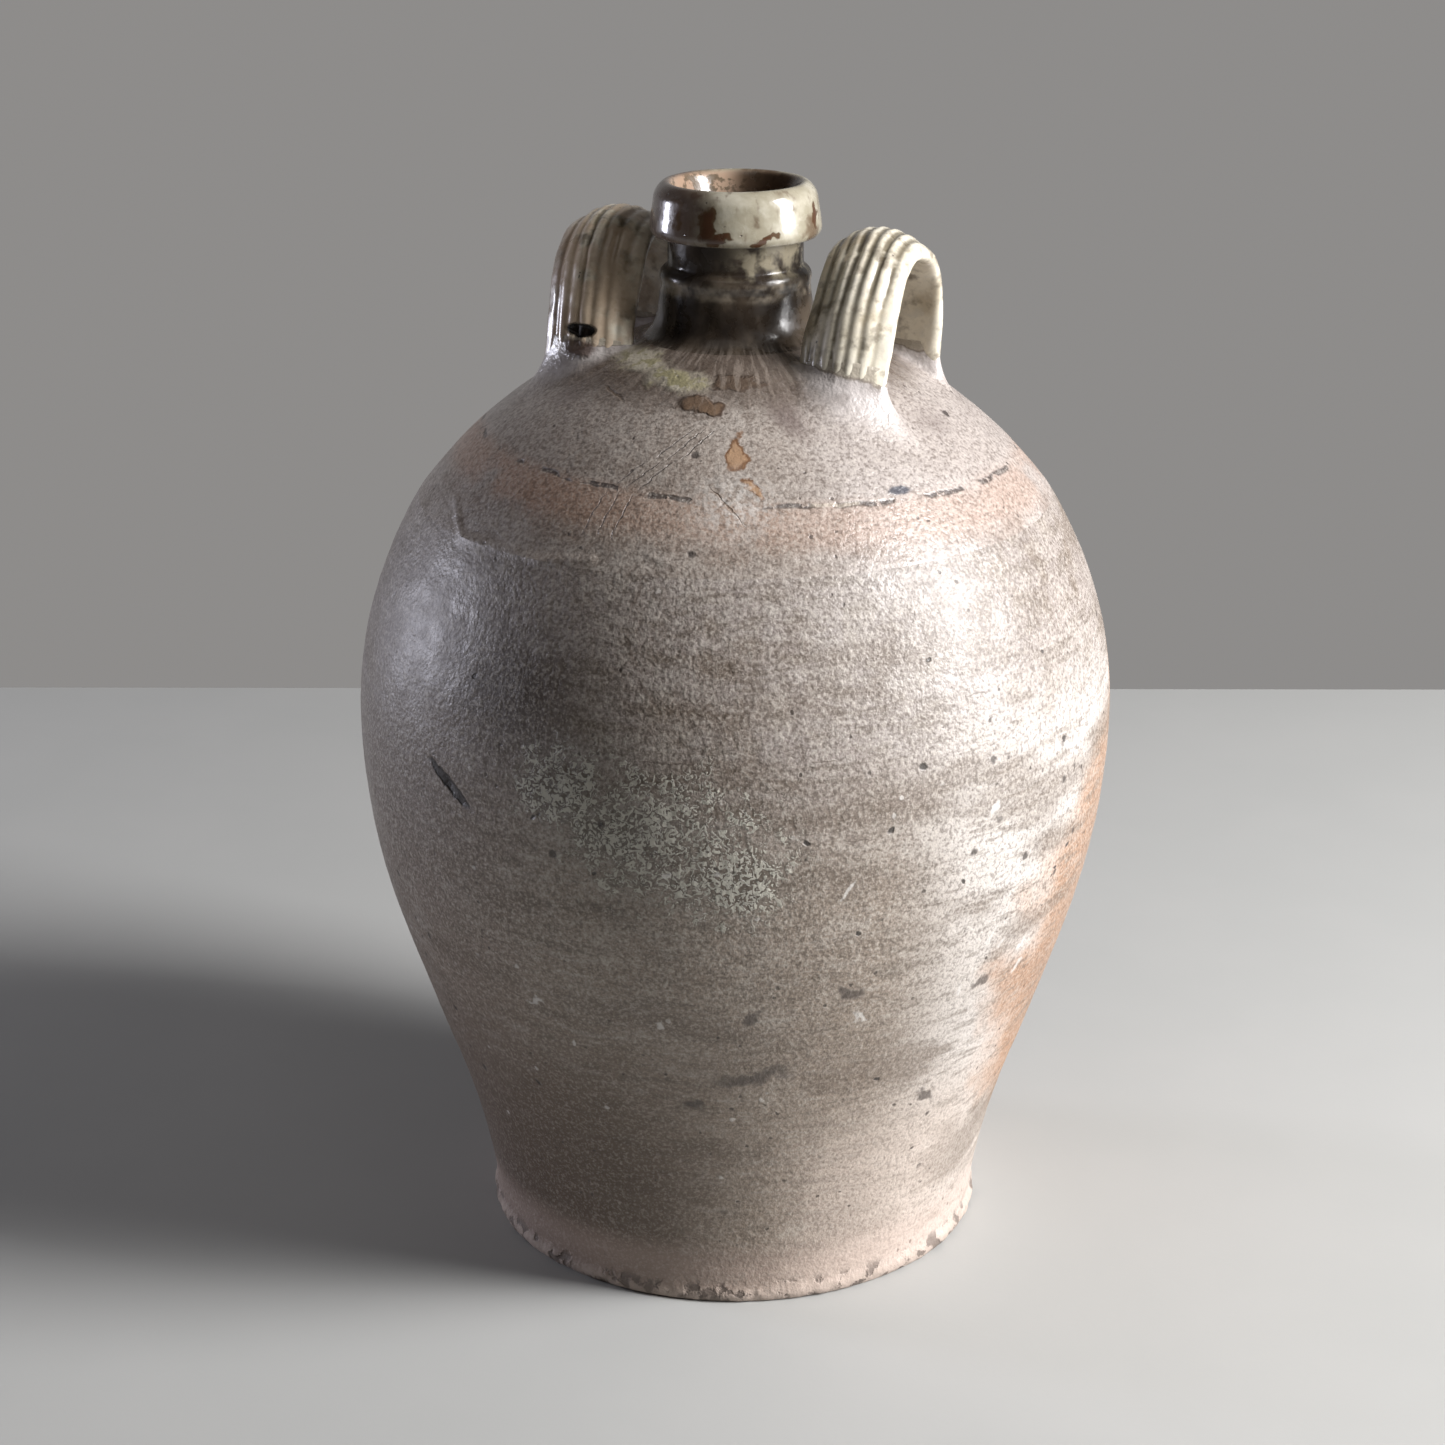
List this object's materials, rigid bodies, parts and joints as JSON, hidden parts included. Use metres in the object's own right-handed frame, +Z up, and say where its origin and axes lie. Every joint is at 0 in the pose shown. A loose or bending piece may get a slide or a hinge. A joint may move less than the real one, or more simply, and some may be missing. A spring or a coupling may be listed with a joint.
{
  "type": "two-handled stoneware jug",
  "caption": "Salt-glazed stoneware storage jug with a swelling belly, narrow foot, short ridged neck, heavy rim collar for a cork and ribbed strap handles on its shoulder.",
  "frame": {"origin": "middle of the foot, on the surface the jug stands on", "axes": "+Z up along the axis the pot was thrown on; the handles lie to the left (-X) and right (+X), and +Y points to the back"},
  "size_m": [0.2808, 0.2808, 0.4],
  "materials": {
    "belly_glaze": "salt glaze with an orange-peel surface, specks, scratches and an orange flash",
    "shoulder_glaze": "thin warm grey salt glaze, nearly matt, with a dark stacking ring",
    "neck_glaze": "glossy dark brown and cream ash glaze",
    "rim_glaze": "glossy cream and olive ash glaze with brown patches",
    "handle_glaze": "glossy olive-grey ash glaze, darker between the ribs",
    "pad_clay": "smeared clay under a thin grey salt glaze"
  },
  "bodies": {
    "root": {"lower_body": "belly_glaze", "shoulder_dome": "shoulder_glaze", "neck": "neck_glaze", "rim_collar": "rim_glaze", "handle_left": "handle_glaze", "handle_right": "handle_glaze", "handle_left_front_pad": "pad_clay", "handle_left_back_pad": "pad_clay", "handle_right_front_pad": "pad_clay", "handle_right_back_pad": "pad_clay"}
  },
  "joints": []
}
